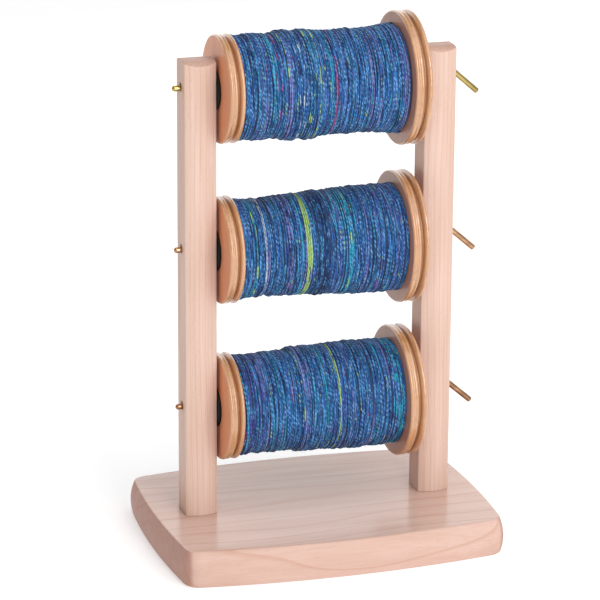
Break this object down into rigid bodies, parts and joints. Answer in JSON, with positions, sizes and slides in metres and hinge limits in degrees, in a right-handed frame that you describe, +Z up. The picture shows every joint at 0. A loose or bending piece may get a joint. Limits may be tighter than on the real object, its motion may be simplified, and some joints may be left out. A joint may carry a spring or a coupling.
{
  "type": "upright lazy kate",
  "caption": "Upright wooden lazy kate: a rack on a heavy base board that holds full spinning-wheel bobbins of wound yarn on pull-out brass rods.",
  "frame": {"origin": "on the surface that the rack stands on, under the middle of the base board", "axes": "+Z up; +X along the rods, towards their bent handles; +Y to the back"},
  "size_m": [0.2986, 0.2246, 0.465],
  "materials": {
    "beech": "pale oiled beech, satin",
    "lacquered_wood": "golden lacquered hardwood, glossy on the rims",
    "brass": "bright drawn brass rod",
    "black_plastic": "moulded black plastic",
    "steel": "zinc-plated steel wood screw",
    "yarn": "variegated blue handspun yarn with teal, purple and lime flecks"
  },
  "bodies": {
    "frame": {"base_board": "beech", "left_upright": "beech", "right_upright": "beech", "left_front_screw": "steel", "left_back_screw": "steel", "right_front_screw": "steel", "right_back_screw": "steel"},
    "bottom_rod": {"bottom_rod": "brass"},
    "bottom_bobbin": {"bottom_small_flange": "lacquered_wood", "bottom_large_flange": "lacquered_wood", "bottom_barrel": "lacquered_wood", "bottom_left_bush": "black_plastic", "bottom_right_bush": "black_plastic", "bottom_yarn": "yarn"},
    "middle_rod": {"middle_rod": "brass"},
    "middle_bobbin": {"middle_small_flange": "lacquered_wood", "middle_large_flange": "lacquered_wood", "middle_barrel": "lacquered_wood", "middle_left_bush": "black_plastic", "middle_right_bush": "black_plastic", "middle_yarn": "yarn"},
    "top_rod": {"top_rod": "brass"},
    "top_bobbin": {"top_small_flange": "lacquered_wood", "top_large_flange": "lacquered_wood", "top_barrel": "lacquered_wood", "top_left_bush": "black_plastic", "top_right_bush": "black_plastic", "top_yarn": "yarn"}
  },
  "joints": [
    {"name": "bottom_rod_slide", "type": "slide", "parent": "frame", "child": "bottom_rod", "axis": [1, 0, 0], "range_m": [0, 0.225]},
    {"name": "bottom_bobbin_spin", "type": "hinge", "parent": "frame", "child": "bottom_bobbin", "pos_m": [0, 0, 0.1259], "axis": [1, 0, 0], "continuous": true},
    {"name": "middle_rod_slide", "type": "slide", "parent": "frame", "child": "middle_rod", "axis": [1, 0, 0], "range_m": [0, 0.225]},
    {"name": "middle_bobbin_spin", "type": "hinge", "parent": "frame", "child": "middle_bobbin", "pos_m": [0, 0, 0.2665], "axis": [1, 0, 0], "continuous": true},
    {"name": "top_rod_slide", "type": "slide", "parent": "frame", "child": "top_rod", "axis": [1, 0, 0], "range_m": [0, 0.225]},
    {"name": "top_bobbin_spin", "type": "hinge", "parent": "frame", "child": "top_bobbin", "pos_m": [0, 0, 0.4071], "axis": [1, 0, 0], "continuous": true}
  ]
}
